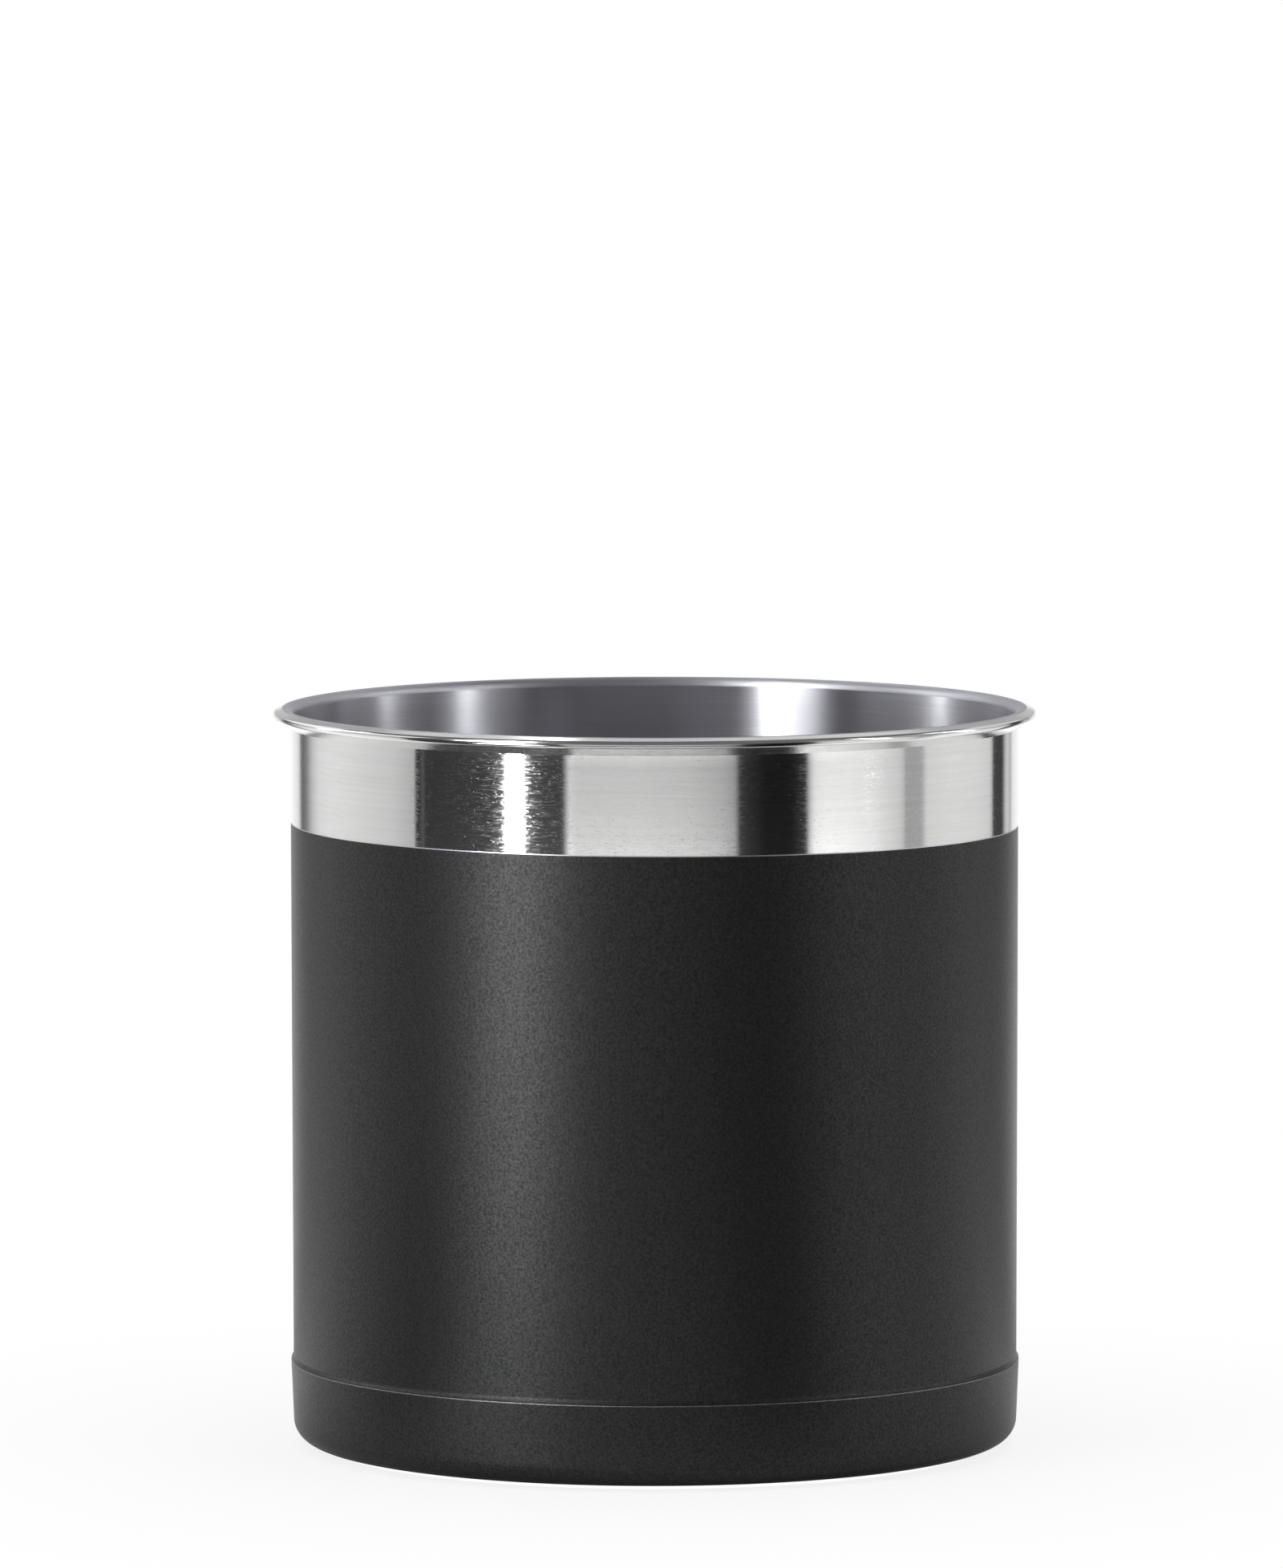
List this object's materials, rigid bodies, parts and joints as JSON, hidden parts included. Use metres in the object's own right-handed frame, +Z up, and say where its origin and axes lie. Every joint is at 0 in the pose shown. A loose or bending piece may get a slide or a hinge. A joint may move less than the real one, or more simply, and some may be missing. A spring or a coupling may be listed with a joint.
{
  "type": "utensil holder",
  "caption": "Round countertop steel holder for kitchen tools: straight coated wall with a polished band and rolled flared rim, seated in a coated, weighted base cup.",
  "frame": {"origin": "centre of the underside of the foot pad, on the surface that the holder stands on", "axes": "+Z up along the axis of the wall, which is round, so X and Y are any two square directions"},
  "size_m": [0.1872, 0.1872, 0.1816],
  "materials": {
    "wall_coating": "satin black metallic coating on steel sheet",
    "cup_coating": "satin black metallic coating on steel sheet",
    "polished_steel": "polished, with fine lines around the wall",
    "brushed_steel": "brushed around the wall",
    "raw_steel": "unfinished plate",
    "foot_rubber": "matte"
  },
  "bodies": {
    "root": {"wall_shell": "wall_coating", "base_cup": "cup_coating", "floor_pan": "brushed_steel", "ballast_plate": "raw_steel", "foot_pad": "foot_rubber"}
  },
  "joints": []
}
